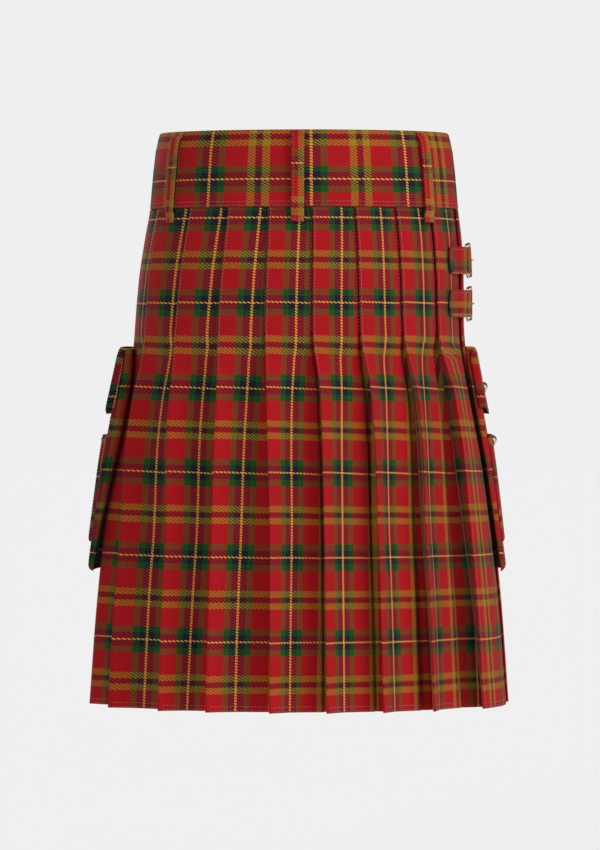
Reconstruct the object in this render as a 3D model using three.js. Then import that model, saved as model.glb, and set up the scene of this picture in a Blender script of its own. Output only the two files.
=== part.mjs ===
// A pleated utility kilt, hollow as worn. Millimetres, +Z up, the wearer faces -Y.
// The origin is the middle of the waist opening, half way up the waistband.
import * as THREE from 'three';

// Driving sizes
const clothThick = 1.2;
const bandThick = 3;
const strapThick = 1.6;
const layerGap = 0.4;
const wrapGap = 0.6;
const seamGap = 0.3;
const bandTop = 40;
const bandBottom = -41;
const fellEnd = -175;
const hemZ = -570;

// Outer rings of the garment: half width, half depth, sideways shift of the middle
// and how square the front half is (1 is an ellipse, less is squarer)
const sections = [
  { z: 40, halfWidth: 154.6, halfDepth: 118.5, shift: 0, front: 0.95 },
  { z: 20, halfWidth: 159, halfDepth: 120.5, shift: 0, front: 0.94 },
  { z: -41, halfWidth: 165, halfDepth: 125, shift: 0, front: 0.9 },
  { z: -75, halfWidth: 170, halfDepth: 131, shift: 1, front: 0.87 },
  { z: -116, halfWidth: 174, halfDepth: 138.5, shift: 3, front: 0.84 },
  { z: -175, halfWidth: 176.8, halfDepth: 147, shift: 5, front: 0.8 },
  { z: -205, halfWidth: 180, halfDepth: 151.5, shift: 5, front: 0.8 },
  { z: -244, halfWidth: 187, halfDepth: 158, shift: 5, front: 0.78 },
  { z: -317, halfWidth: 200, halfDepth: 166, shift: 5, front: 0.77 },
  { z: -453, halfWidth: 216.5, halfDepth: 175, shift: 5, front: 0.76 },
  { z: -570, halfWidth: 225.4, halfDepth: 180, shift: 5, front: 0.76 },
];

// Fold edge of each pleat, in degrees round from the centre back towards the wearer's
// right, at the waistband seam, the end of the sewn fell, the spring below it and the hem
const folds = [
  { seam: -87, fell: -86, spring: -86, hem: -85, dip: 0.9 },
  { seam: -67.9, fell: -66.4, spring: -69.7, hem: -62, dip: 1 },
  { seam: -44.7, fell: -45.8, spring: -44.9, hem: -39, dip: 1 },
  { seam: -26.6, fell: -26.6, spring: -25.5, hem: -23.5, dip: 1 },
  { seam: -10.3, fell: -9.2, spring: -8.1, hem: -5.6, dip: 1 },
  { seam: 6.2, fell: 7.2, spring: 9.5, hem: 9.7, dip: 0.95 },
  { seam: 22.6, fell: 24.1, spring: 26.8, hem: 25.5, dip: 0.9 },
  { seam: 39.7, fell: 41.4, spring: 44.8, hem: 41.5, dip: 1.1 },
  { seam: 58.3, fell: 59.9, spring: 65.5, hem: 62.7, dip: 0.15 },
  { seam: 84, fell: 84, spring: 92, hem: 98, dip: 0 },
];
const springZ = -244;

// How far each panel sinks under the next fold, and how much of a hanging fold it shows
const opening = [
  { z: -41, dip: 4, open: 0 },
  { z: -165, dip: 4, open: 0 },
  { z: -180, dip: 5, open: 0.3 },
  { z: -205, dip: 9.5, open: 0.7 },
  { z: -244, dip: 15, open: 1 },
  { z: -317, dip: 20, open: 1 },
  { z: -453, dip: 24, open: 1 },
  { z: -570, dip: 26, open: 1 },
];
const skirtRows = [-41.3, -80, -120, -168, -182, -205, -244, -290, -360, -455, -570];
const knee = 0.35;
const tuck = 0.46;
const layersUnderFold = 2.1;
const sideDipShare = 0.9;
// Sunk share of a hanging panel, at places across it
const hanging = [
  { across: 0, sunk: 0 },
  { across: 0.17, sunk: 0.45 },
  { across: knee, sunk: 0.8 },
  { across: 0.66, sunk: 0.96 },
  { across: 1, sunk: 1 },
];

// Where the wrap starts and ends, in degrees round from the centre back
const leftSeam = -138;
const rightSeam = 158;
const apronEdge = 146;
const underEdge = 214;
const stepStart = 134;
const stepEnd = 142;

const loopPlaces = [-122, -55.6, 0, 54.5, 122];
const loop = { width: 13, thick: 1.6, top: 39.4, bottom: -57, standoff: 5.2, bend: 9 };

const strapHeights = [-96, -142];
const strap = { width: 28, tip: 64.5, end: 154, tipCut: 5 };
const buckle = {
  at: 93, height: 38, width: 25, bar: 3.4, thick: 2.4, out: 2.3, corner: 5, rise: 1.1, tilt: 0.21,
};
const tab = { width: 27, sewnEnd: 76 };
const prongRadius = 1.1;

// Bellows pocket on each hip: how far its edges and its face stand out from the hip
const pockets = [
  {
    name: 'left', side: 1, backY: 27, width: 138,
    rows: [
      { z: -191, edge: 0.9, face: 11.4 },
      { z: -240, edge: -3.2, face: 11.6 },
      { z: -288, edge: -2.8, face: 11.3 },
      { z: -338, edge: 0.9, face: 11.5 },
      { z: -380, edge: 4.7, face: 12 },
      { z: -421, edge: 7.2, face: 12.6 },
      { z: -425.5, edge: 7.6, face: 9.6 },
    ],
    flapOut: 18.6, patchTop: 5, patchBottom: 3.5, ridge: 4,
  },
  {
    name: 'right', side: -1, backY: 11, width: 138,
    rows: [
      { z: -191, edge: 1.1, face: 7.2 },
      { z: -240, edge: 1.1, face: 7 },
      { z: -288, edge: 1.1, face: 6.6 },
      { z: -338, edge: 1.1, face: 6.4 },
      { z: -380, edge: 1.6, face: 6.4 },
      { z: -421, edge: 2.4, face: 7 },
      { z: -425.5, edge: 2.8, face: 4.6 },
    ],
    flapOut: 12.5, patchTop: 4.6, patchBottom: 2.6, ridge: 0.8,
  },
];
const pocketFlatness = 0.5;
const pocketTurn = -0.03;
const flap = { top: -188, bottom: -253, drop: 7, overhang: 2, lift: 1.6, studZ: -231 };
const patch = { top: -282, bottom: -396, inset: 17, studZ: -288.5 };
const stud = { radius: 6.2, height: 4.4 };

const colours = {
  cloth: 0xa8202a, loopCloth: 0x9c2a26, strapCloth: 0xa02028, metal: 0xc9bfa4,
};

const kilt = new THREE.Group();

function addPiece(name, geometry, colour, metalness = 0) {
  const material = new THREE.MeshStandardMaterial({
    color: colour, roughness: metalness > 0 ? 0.3 : 0.9, metalness,
  });
  const piece = new THREE.Mesh(geometry, material);
  piece.name = name;
  kilt.add(piece);
  return piece;
}

// Straight-line reading of a table's column at a height, or along any other column
function readTable(table, at, column, key = 'z') {
  const rising = table[table.length - 1][key] > table[0][key];
  const rows = rising ? table : [...table].reverse();
  if (at <= rows[0][key]) return rows[0][column];
  for (let i = 1; i < rows.length; i += 1) {
    if (at <= rows[i][key]) {
      const share = (at - rows[i - 1][key]) / (rows[i][key] - rows[i - 1][key]);
      return THREE.MathUtils.lerp(rows[i - 1][column], rows[i][column], share);
    }
  }
  return rows[rows.length - 1][column];
}

function sectionAt(z) {
  return {
    halfWidth: readTable(sections, z, 'halfWidth'),
    halfDepth: readTable(sections, z, 'halfDepth'),
    shift: readTable(sections, z, 'shift'),
    front: readTable(sections, z, 'front'),
  };
}

function signedPower(value, power) {
  return Math.sign(value) * Math.abs(value) ** power;
}

// Point of the ring at a height and an angle, moved out by a distance
function ringPoint(z, degrees, out = 0) {
  const ring = sectionAt(z);
  const angle = THREE.MathUtils.degToRad(degrees);
  const sine = Math.sin(angle);
  const cosine = Math.cos(angle);
  const power = cosine < 0 ? ring.front : 1;
  const normal = new THREE.Vector2(
    -signedPower(sine, 2 - power) / ring.halfWidth,
    signedPower(cosine, 2 - power) / ring.halfDepth,
  ).normalize();
  return new THREE.Vector2(
    ring.shift - ring.halfWidth * signedPower(sine, power),
    ring.halfDepth * signedPower(cosine, power),
  ).addScaledVector(normal, out);
}

// A line in a plane moved to its right by a distance, corners mitred
function offsetLine(line, distance) {
  return line.map((point, i) => {
    const before = line[Math.max(i - 1, 0)];
    const after = line[Math.min(i + 1, line.length - 1)];
    const into = point.clone().sub(before).normalize();
    const out = after.clone().sub(point).normalize();
    const first = i === 0 ? out : into;
    const second = i === line.length - 1 ? into : out;
    const side = new THREE.Vector2(first.y + second.y, -first.x - second.x).normalize();
    const stretch = Math.max(side.x * second.y - side.y * second.x, 0.42);
    return point.clone().addScaledVector(side, distance / stretch);
  });
}

// A closed wall between two grids of points with the same rows and columns
function closeWall(outer, inner) {
  const rows = outer.length;
  const columns = outer[0].length;
  const points = [...outer.flat(), ...inner.flat()];
  const faces = [];
  const innerStart = rows * columns;
  const quad = (a, b, c, d) => faces.push(a, b, c, a, c, d);
  const at = (i, j) => i * columns + j;
  for (let i = 0; i < rows - 1; i += 1) {
    for (let j = 0; j < columns - 1; j += 1) {
      const corners = [at(i, j), at(i + 1, j), at(i + 1, j + 1), at(i, j + 1)];
      quad(...corners);
      quad(...corners.map((corner) => corner + innerStart).reverse());
    }
    for (const [j, flip] of [[0, false], [columns - 1, true]]) {
      const rim = [at(i, j), at(i, j) + innerStart, at(i + 1, j) + innerStart, at(i + 1, j)];
      quad(...(flip ? rim.reverse() : rim));
    }
  }
  for (let j = 0; j < columns - 1; j += 1) {
    for (const [i, flip] of [[0, false], [rows - 1, true]]) {
      const rim = [at(i, j), at(i, j + 1), at(i, j + 1) + innerStart, at(i, j) + innerStart];
      quad(...(flip ? rim.reverse() : rim));
    }
  }
  const geometry = new THREE.BufferGeometry();
  geometry.setAttribute('position', new THREE.Float32BufferAttribute(
    points.flatMap((point) => [point.x, point.y, point.z]), 3,
  ));
  geometry.setIndex(faces);
  geometry.computeVertexNormals();
  return geometry;
}

// A wall of cloth from its middle line at each height, thickness split to both sides
function plannedWall(heights, middleLine, thick) {
  const lines = heights.map((z) => middleLine(z));
  const raise = (line, i) => line.map((point) => new THREE.Vector3(point.x, point.y, heights[i]));
  return closeWall(
    lines.map((line, i) => raise(offsetLine(line, thick / 2), i)),
    lines.map((line, i) => raise(offsetLine(line, -thick / 2), i)),
  );
}

function steps(from, to, step) {
  const count = Math.round(Math.abs(to - from) / step);
  return Array.from({ length: count + 1 }, (_, i) => THREE.MathUtils.lerp(from, to, i / count));
}

function foldAngle(fold, z) {
  const table = [
    { z: bandBottom, angle: fold.seam },
    { z: fellEnd, angle: fold.fell },
    { z: springZ, angle: fold.spring },
    { z: -400, angle: THREE.MathUtils.lerp(fold.spring, fold.hem, 0.85) },
    { z: hemZ, angle: fold.hem },
  ];
  return readTable(table, z, 'angle');
}

// Middle line of a panel, under its ring, at a share of the way to the next fold
function panelDepth(fold, z, across) {
  const open = readTable(opening, z, 'open');
  const flatDip = readTable(opening, bandBottom, 'dip');
  const full = readTable(opening, z, 'dip');
  const dip = Math.max(full * fold.dip, fold.dip > 0 ? flatDip : 0);
  const hang = readTable(hanging, across, 'sunk', 'across');
  return -clothThick / 2 - dip * THREE.MathUtils.lerp(across, hang, open);
}

// The inner wrap layer lies one cloth and a little air under the outer one
function wrapStep(degrees, thick) {
  const share = THREE.MathUtils.clamp((degrees - stepStart) / (stepEnd - stepStart), 0, 1);
  return -share * (thick + wrapGap);
}

// The pleated panel from the left side seam, over ten folds, to the right seam
function pleatedLine(z) {
  const line = [];
  const layer = clothThick + layerGap;
  const add = (degrees, out) => line.push(ringPoint(z, degrees, out));
  const firstFold = foldAngle(folds[0], z);
  const sideDip = Math.max(
    readTable(opening, z, 'dip') * sideDipShare, readTable(opening, bandBottom, 'dip'),
  );
  steps(leftSeam + 0.1, -102, 6).forEach((degrees) => add(degrees, -clothThick / 2));
  add(THREE.MathUtils.lerp(-102, firstFold, 0.5), -clothThick / 2 - sideDip * 0.6);
  folds.forEach((fold, k) => {
    const angle = foldAngle(fold, z);
    const last = k === folds.length - 1;
    const nextAngle = last ? angle + 18 : foldAngle(folds[k + 1], z);
    const spread = nextAngle - angle;
    const width = ringPoint(z, angle).distanceTo(ringPoint(z, nextAngle));
    const sink = panelDepth(fold, z, 0) - panelDepth(fold, z, knee);
    const drop = layer * Math.hypot(1, sink / (knee * width));
    const arriving = k === 0 ? -clothThick / 2 - sideDip : panelDepth(folds[k - 1], z, 1);
    const under = (across, layers) => add(
      angle + across * spread, panelDepth(fold, z, across) - layers * drop,
    );
    add(angle, Math.min(arriving, -clothThick / 2 - layersUnderFold * drop));
    under(tuck, 2);
    under(tuck, 1);
    under(knee, 1);
    under(0, 1);
    under(0, 0);
    if (last) return;
    [0.17, knee, 0.66].forEach((across) => under(across, 0));
  });
  const lastFold = foldAngle(folds[folds.length - 1], z);
  [0.3, 0.62].forEach((share) => add(THREE.MathUtils.lerp(lastFold, 102, share), -clothThick / 2));
  steps(102, 126, 8).forEach((degrees) => add(degrees, -clothThick / 2));
  steps(130, rightSeam, 4).forEach((degrees) => {
    add(degrees, -clothThick / 2 + wrapStep(degrees, clothThick));
  });
  return line;
}

function apronLine(z, places, out) {
  return places.map((degrees) => ringPoint(z, degrees, out));
}

addPiece('pleated_back', plannedWall(skirtRows, pleatedLine, clothThick), colours.cloth);

const seamTurn = 0.13;
const overPlaces = [...steps(apronEdge, 218, 4), 360 + leftSeam - seamTurn];
const underPlaces = [rightSeam + seamTurn, ...steps(rightSeam + 4, underEdge, 4)];
const underOut = -clothThick / 2 + wrapStep(rightSeam, clothThick);
addPiece('over_apron', plannedWall(
  skirtRows, (z) => apronLine(z, overPlaces, -clothThick / 2), clothThick,
), colours.cloth);
addPiece('under_apron', plannedWall(
  skirtRows, (z) => apronLine(z, underPlaces, underOut), clothThick,
), colours.cloth);

// The waistband is one strip: over the front from the apron's edge, round the back and
// in under the front at the wearer's right
const bandPlaces = [
  ...steps(apronEdge - 360, -130, 4), ...steps(-124, 124, 6.2), ...steps(130, underEdge, 4),
];
const bandLine = (z) => bandPlaces.map((degrees) => ringPoint(
  z, degrees, -bandThick / 2 + wrapStep(degrees, bandThick),
));
const bandRows = [bandTop, 20, -10, bandBottom];
addPiece('waistband', plannedWall(bandRows, bandLine, bandThick), colours.cloth);

// Directions at a place on the ring: along it, up its slope and out of it
function seatAt(z, degrees, out) {
  const here = ringPoint(z, degrees);
  const further = ringPoint(z, degrees, 1);
  const reach = 10;
  const above = ringPoint(z + reach, degrees);
  const below = ringPoint(z - reach, degrees);
  const up = new THREE.Vector3(above.x - below.x, above.y - below.y, 2 * reach).normalize();
  const level = new THREE.Vector3(further.x - here.x, further.y - here.y, 0);
  const along = new THREE.Vector3().crossVectors(up, level).normalize();
  const outward = new THREE.Vector3().crossVectors(along, up);
  const place = new THREE.Matrix4().makeBasis(along, up, outward);
  return place.setPosition(new THREE.Vector3(here.x, here.y, z).addScaledVector(outward, out));
}

// Belt loop: a strip from the top edge, standing off the waistband, sewn down at both ends
function beltLoop(degrees) {
  const middle = loop.thick / 2 + seamGap;
  const far = middle + loop.standoff;
  const profile = [
    { z: loop.top, out: middle },
    { z: loop.top - loop.bend * 0.45, out: middle + 0.3 },
    { z: loop.top - loop.bend * 0.8, out: far - 0.8 },
    { z: loop.top - loop.bend * 1.4, out: far },
    { z: -8, out: far },
    { z: loop.bottom + loop.bend * 1.5, out: far - 0.3 },
    { z: loop.bottom + loop.bend * 0.9, out: middle + 0.9 },
    { z: loop.bottom, out: middle + 0.1 },
  ];
  const flat = profile.map(({ z, out }) => new THREE.Vector2(z, out));
  const side = (distance) => offsetLine(flat, distance).map((point) => {
    const base = seatAt(point.x, degrees, 0);
    return [-loop.width / 2, 0, loop.width / 2].map(
      (across) => new THREE.Vector3(across, 0, point.y).applyMatrix4(base),
    );
  });
  return closeWall(side(loop.thick / 2), side(-loop.thick / 2));
}
loopPlaces.forEach((degrees, i) => {
  addPiece(`belt_loop_${i + 1}`, beltLoop(degrees), colours.loopCloth);
});

// Side closures: a tab folded round the buckle's heel bar, the buckle, its prong and a
// strap sewn to the apron edge that passes under the nose bar and back over the tab
// Place on the ring, in degrees, at a distance from the buckle's middle
function placeAt(z, distance) {
  const ring = sectionAt(z);
  const y = ringPoint(z, buckle.at).y - distance;
  const power = y < 0 ? ring.front : 1;
  return THREE.MathUtils.radToDeg(Math.acos(signedPower(y / ring.halfDepth, 1 / power)));
}

const barPlace = buckle.width / 2 - buckle.bar / 2;

// Turned about the heel bar, so that the nose bar stands out over the strap
function tilted(geometry) {
  return geometry.translate(barPlace, 0, 0).rotateY(-buckle.tilt).translate(-barPlace, 0, 0);
}

function buckleFrame(z) {
  const { width, height, bar, corner } = buckle;
  const outline = (x, y, radius) => {
    const shape = new THREE.Shape();
    shape.moveTo(x - radius, -y);
    shape.absarc(x - radius, -y + radius, radius, -Math.PI / 2, 0);
    shape.absarc(x - radius, y - radius, radius, 0, Math.PI / 2);
    shape.absarc(-x + radius, y - radius, radius, Math.PI / 2, Math.PI);
    shape.absarc(-x + radius, -y + radius, radius, Math.PI, 1.5 * Math.PI);
    return shape;
  };
  const frame = outline(width / 2, height / 2, corner);
  frame.holes.push(outline(width / 2 - bar, height / 2 - bar, corner - bar));
  const geometry = new THREE.ExtrudeGeometry(frame, {
    depth: buckle.thick, bevelEnabled: false, curveSegments: 4,
  });
  return tilted(geometry).applyMatrix4(seatAt(z, buckle.at, buckle.out));
}

// Extra places along a strip, so that it bends with the ring
function closelySpaced(path) {
  return path.flatMap((here, i) => {
    if (i === path.length - 1) return [here];
    const next = path[i + 1];
    const count = Math.max(Math.ceil(Math.abs(next.degrees - here.degrees) / 4), 1);
    return Array.from({ length: count }, (_, j) => ({
      degrees: THREE.MathUtils.lerp(here.degrees, next.degrees, j / count),
      out: THREE.MathUtils.lerp(here.out, next.out, j / count),
    }));
  });
}

// A strip along the ring with its middle line given as places in degrees and outward
function strip(z0, width, thick, path, endCut) {
  const line = closelySpaced(path);
  const rows = [
    { z: z0 + width / 2, cut: endCut },
    { z: z0 + width / 2 - endCut, cut: 0 },
    { z: z0 - width / 2 + endCut, cut: 0 },
    { z: z0 - width / 2, cut: endCut },
  ];
  return plannedWall(rows.map((row) => row.z), (z) => {
    const { cut } = rows.find((row) => row.z === z);
    return line.map(({ degrees, out }, i) => ringPoint(
      z, i === 0 ? degrees + cut * 0.35 : degrees, out,
    ));
  }, thick);
}

function tabPath(z) {
  const low = clothThick / 2 + seamGap;
  const high = buckle.out + buckle.rise + buckle.thick + seamGap + clothThick / 2;
  const bend = buckle.bar / 2 + 2 * seamGap + clothThick / 2;
  const middle = (high + low) / 2;
  const at = (distance, out) => ({ degrees: placeAt(z, distance - barPlace), out });
  return [
    { degrees: tab.sewnEnd, out: low + clothThick + layerGap },
    at(-bend, high), at(bend - 0.6, high),
    at(bend + 0.1, middle + 1), at(bend + 0.1, middle - 1),
    at(bend - 0.6, low), at(-bend, low),
    { degrees: tab.sewnEnd, out: low },
  ];
}

function strapPath(z) {
  const low = strapThick / 2 + seamGap;
  const over = buckle.out + buckle.rise + buckle.thick + 2 * seamGap + clothThick
    + strapThick / 2;
  const at = (distance, out) => ({ degrees: placeAt(z, distance), out });
  return [
    { degrees: strap.tip, out: low + 0.1 },
    { degrees: strap.tip + 6.5, out: low + 0.7 },
    { degrees: tab.sewnEnd - 1, out: low + 3.2 },
    { degrees: tab.sewnEnd, out: low + 3.4 },
    at(-barPlace - 4, over), at(-barPlace + 3.6, over - 0.1),
    at(2.4, low + 2.2), at(barPlace - 3.4, low), at(barPlace + 4, low),
    ...[106, 111, 116, 121, 126].map((degrees) => ({ degrees, out: low })),
    ...steps(130, strap.end, 4).map((degrees) => ({ degrees, out: low })),
  ];
}

function prongRod(z) {
  const reach = buckle.width / 2;
  const top = buckle.thick + seamGap + prongRadius;
  const path = new THREE.CatmullRomCurve3([
    new THREE.Vector3(reach - 0.4, 0, top - 0.1),
    new THREE.Vector3(reach - 3.4, 0, top + 0.2),
    new THREE.Vector3(4.4, 0, top + 0.1),
  ]);
  const section = new THREE.Shape();
  section.absarc(0, 0, prongRadius, 0, 2 * Math.PI);
  const geometry = new THREE.ExtrudeGeometry(section, {
    steps: 5, curveSegments: 4, extrudePath: path,
  });
  return tilted(geometry).applyMatrix4(seatAt(z, buckle.at, buckle.out));
}

strapHeights.forEach((z, i) => {
  const place = i === 0 ? 'upper' : 'lower';
  addPiece(`tab_${place}`, strip(z, tab.width, clothThick, tabPath(z), 0.01), colours.strapCloth);
  addPiece(`buckle_${place}`, buckleFrame(z), colours.metal, 1);
  addPiece(`prong_${place}`, prongRod(z), colours.metal, 1);
  addPiece(
    `strap_${place}`,
    strip(z, strap.width, strapThick, strapPath(z), strap.tipCut),
    colours.strapCloth,
  );
});

// Distance of the hip from the garment's middle plane at a height and a place fore or aft
function hipX(z, y) {
  const ring = sectionAt(z);
  const power = 2 / (y < 0 ? ring.front : 1);
  return ring.halfWidth * Math.max(1 - Math.abs(y / ring.halfDepth) ** power, 0) ** (1 / power);
}

// Distance of a pocket's face, between flat and following the hip, turned to the front
function faceX(pocket, z, y) {
  const flat = sectionAt(z).halfWidth;
  const turned = Math.max(-y, 0) * pocketTurn;
  return THREE.MathUtils.lerp(hipX(z, y), flat, pocketFlatness) - turned
    + readTable(pocket.rows, z, 'face');
}

function pocketPoint(pocket, z, y, x) {
  return new THREE.Vector2(sectionAt(z).shift + pocket.side * x, y);
}

// A pouch open at the top: side gussets with a ridge along them and a front face
function pouch(pocket, heights, from, to, edgeX, frontX) {
  const corner = 3;
  const line = (z) => {
    const edges = [from, to].map((y) => ({ y, low: edgeX(z, y), high: frontX(z, y) }));
    const ridged = (edge, turn) => [
      [edge.y, edge.low],
      [
        edge.y + turn * Math.min(pocket.ridge, (edge.high - edge.low) * 0.4),
        THREE.MathUtils.lerp(edge.low, edge.high, 0.36),
      ],
      [edge.y, Math.max(edge.high - corner, edge.low + 0.6)],
    ];
    const face = steps(from - corner, to + corner, 12).map((y) => [y, frontX(z, y)]);
    const points = [...ridged(edges[0], 1), ...face, ...ridged(edges[1], -1).reverse()];
    const flat = points.map(([y, x]) => pocketPoint(pocket, z, y, x));
    return pocket.side > 0 ? flat.reverse() : flat;
  };
  return plannedWall(heights, line, clothThick);
}

function pocketBag(pocket) {
  const table = pocket.rows;
  const edgeX = (z, y) => hipX(z, y) + readTable(table, z, 'edge') * (y > 0 ? 1 : 0)
    + (y > 0 ? 0 : Math.max(readTable(table, z, 'edge'), 1.2)) + 0.2;
  const from = pocket.backY;
  return pouch(
    pocket, table.map((row) => row.z), from, from - pocket.width, edgeX,
    (z, y) => faceX(pocket, z, y) - clothThick / 2,
  );
}

function pocketPatch(pocket) {
  const proud = (z) => THREE.MathUtils.mapLinear(
    z, patch.top, patch.bottom, pocket.patchTop, pocket.patchBottom,
  );
  const heights = [patch.top, -310, -350, patch.bottom + 5, patch.bottom];
  const from = pocket.backY - patch.inset * 0.3;
  const to = pocket.backY - pocket.width + patch.inset;
  const low = clothThick / 2 + seamGap;
  return pouch(
    pocket, heights, from, to,
    (z, y) => faceX(pocket, z, y) + low * 0.6,
    (z, y) => faceX(pocket, z, y) + (z === patch.bottom ? low + 0.9 : proud(z)) - clothThick / 2,
  );
}

// Outward line of the flap at a place across it: over the pouch's mouth and down
function flapProfile(pocket, y) {
  const middle = pocket.backY - pocket.width / 2;
  const nearMiddle = 1 - Math.abs(y - middle) / (pocket.width / 2 + flap.overhang);
  const bottom = flap.bottom - flap.drop * Math.min(nearMiddle * 1.6, 1);
  const face = faceX(pocket, -200, y);
  const hip = THREE.MathUtils.lerp(hipX(bottom, y), sectionAt(bottom).halfWidth, pocketFlatness);
  const low = hip + pocket.flapOut - Math.max(-y, 0) * pocketTurn - clothThick / 2;
  const high = face + flap.lift;
  const hanging = [0.36, 0.7, 1].map((share) => new THREE.Vector2(
    THREE.MathUtils.lerp(high, low, share), THREE.MathUtils.lerp(flap.top, bottom, share),
  ));
  return [
    new THREE.Vector2(hipX(flap.top, y) + 1, flap.top - 0.4),
    new THREE.Vector2((hipX(flap.top, y) + high) / 2, flap.top),
    new THREE.Vector2(high - 1.4, flap.top - 0.9),
    new THREE.Vector2(high + 0.6, flap.top - 4.4),
    ...hanging,
  ];
}

function pocketFlap(pocket) {
  const places = steps(
    pocket.backY + flap.overhang, pocket.backY - pocket.width - flap.overhang, 13,
  );
  const side = (distance) => {
    const columns = places.map((y) => offsetLine(flapProfile(pocket, y), distance).map(
      (point) => new THREE.Vector3(sectionAt(flap.top).shift + pocket.side * point.x, y, point.y),
    ));
    const across = pocket.side > 0 ? columns.reverse() : columns;
    return across[0].map((_, i) => across.map((column) => column[i]));
  };
  return closeWall(side(-clothThick / 2), side(clothThick / 2));
}

// A domed stud on a surface that is given as its outward distance at a height and place
function pocketStud(pocket, surface, z, y) {
  const { radius, height } = stud;
  const profile = [
    [0, 0], [radius - 0.6, 0], [radius, 0.9], [radius - 1.2, 1.8], [radius * 0.62, height - 0.9],
    [radius * 0.34, height - 0.2], [0, height],
  ].map(([across, up]) => new THREE.Vector2(across, up));
  const slope = (dz, dy) => (surface(z + dz, y + dy) - surface(z - dz, y - dy)) / (2 * radius);
  const outward = new THREE.Vector3(
    pocket.side, -slope(0, radius), -slope(radius, 0),
  ).normalize();
  const turn = new THREE.Quaternion().setFromUnitVectors(new THREE.Vector3(0, 1, 0), outward);
  const place = new THREE.Vector3(
    sectionAt(z).shift + pocket.side * surface(z, y), y, z,
  ).addScaledVector(outward, seamGap + 0.15);
  return new THREE.LatheGeometry(profile, 16).applyQuaternion(turn)
    .translate(place.x, place.y, place.z);
}

pockets.forEach((pocket) => {
  const middle = pocket.backY - pocket.width / 2;
  const flapSurface = (z, y) => {
    const [above, below] = flapProfile(pocket, y).slice(-2);
    const share = (z - above.y) / (below.y - above.y);
    return THREE.MathUtils.lerp(above.x, below.x, share) + clothThick / 2;
  };
  const patchSurface = (z, y) => faceX(pocket, z, y) + pocket.patchTop;
  const lay = (part, geometry, ...finish) => addPiece(
    `${part}_${pocket.name}`, geometry, ...finish,
  );
  lay('pocket_bag', pocketBag(pocket), colours.cloth);
  lay('pocket_flap', pocketFlap(pocket), colours.cloth);
  lay('patch_pocket', pocketPatch(pocket), colours.cloth);
  lay('flap_stud', pocketStud(pocket, flapSurface, flap.studZ, middle), colours.metal, 1);
  lay('patch_stud', pocketStud(pocket, patchSurface, patch.studZ, middle), colours.metal, 1);
});

export default kilt;
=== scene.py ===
import bisect
import math
from functools import lru_cache

import bmesh
import bpy
from mathutils import Matrix, Vector


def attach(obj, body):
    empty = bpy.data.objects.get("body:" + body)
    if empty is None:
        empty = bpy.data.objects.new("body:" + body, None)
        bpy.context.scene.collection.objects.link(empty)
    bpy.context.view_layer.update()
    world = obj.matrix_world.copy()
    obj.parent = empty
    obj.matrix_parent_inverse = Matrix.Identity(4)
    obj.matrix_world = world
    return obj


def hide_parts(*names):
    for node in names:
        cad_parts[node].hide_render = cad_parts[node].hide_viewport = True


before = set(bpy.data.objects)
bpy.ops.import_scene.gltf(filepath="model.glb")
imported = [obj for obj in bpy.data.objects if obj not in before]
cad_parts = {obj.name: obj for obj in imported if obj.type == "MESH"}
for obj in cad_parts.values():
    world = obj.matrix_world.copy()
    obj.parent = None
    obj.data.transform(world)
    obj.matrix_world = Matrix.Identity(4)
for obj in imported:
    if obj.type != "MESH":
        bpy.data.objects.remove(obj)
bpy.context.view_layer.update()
scene = bpy.context.scene

# Camera, where the photograph was taken from
view = {"turn": 3.0, "distance": 6.0, "height": -0.2, "pitch": 0.685, "aside": 0.00428, "lens": 237.3}


def setCamera():
    turn, pitch = math.radians(view["turn"]), math.radians(view["pitch"])
    back = Vector((-math.sin(turn), math.cos(turn), 0))
    right = Vector((-math.cos(turn), -math.sin(turn), 0))
    lensData = bpy.data.cameras.new("camera")
    lensData.lens = view["lens"]
    lensData.sensor_width = 36
    lensData.clip_end = 60
    camera = bpy.data.objects.new("camera", lensData)
    scene.collection.objects.link(camera)
    camera.location = back * view["distance"] - right * view["aside"] + Vector((0, 0, view["height"]))
    look = -back * math.cos(pitch) - Vector((0, 0, math.sin(pitch)))
    camera.rotation_euler = look.to_track_quat("-Z", "Y").to_euler()
    scene.camera = camera


studio = {
    "ambient": 0.05, "backdrop": 0.865, "floorZ": -0.95,
    "suns": [
        {"name": "key", "from": (-1.4, 1.0, 0.5), "soft": 44, "power": 2.75},
        {"name": "fill", "from": (0.3, 1.0, 0.35), "soft": 30, "power": 1.15},
        {"name": "front", "from": (0.45, -1.0, 0.9), "soft": 40, "power": 2.7},
    ],
}


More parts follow.
